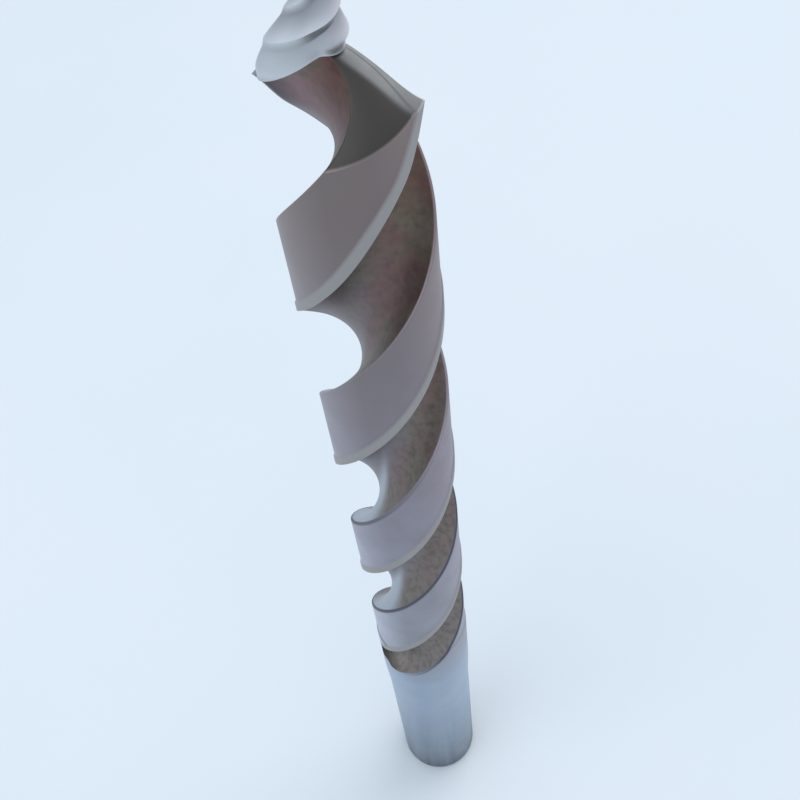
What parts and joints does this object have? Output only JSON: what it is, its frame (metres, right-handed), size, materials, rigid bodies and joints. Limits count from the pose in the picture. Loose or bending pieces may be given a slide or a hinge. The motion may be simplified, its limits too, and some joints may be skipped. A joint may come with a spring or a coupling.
{
  "type": "auger drill bit",
  "caption": "Right-hand spiral wood auger bit with a plain round shank, a deep fluted body, cutting lips and a conical lead screw.",
  "frame": {"origin": "middle of the shank's flat end face, which is also the middle of the footprint", "axes": "+Z along the bit's axis, from the shank's end towards the lead screw; the bit stands on its shank; it cuts turning anticlockwise seen from +Z"},
  "size_m": [0.018, 0.018, 0.23],
  "materials": {
    "shank_steel": "satin turned steel, blue-grey, darker at the foot",
    "body_steel": "satin warm grey lands with bright margins, brown oxide in the flutes",
    "screw_steel": "bright ground thread"
  },
  "bodies": {
    "root": {"shank": "shank_steel", "fluted_body": "body_steel", "lead_screw": "screw_steel"}
  },
  "joints": []
}
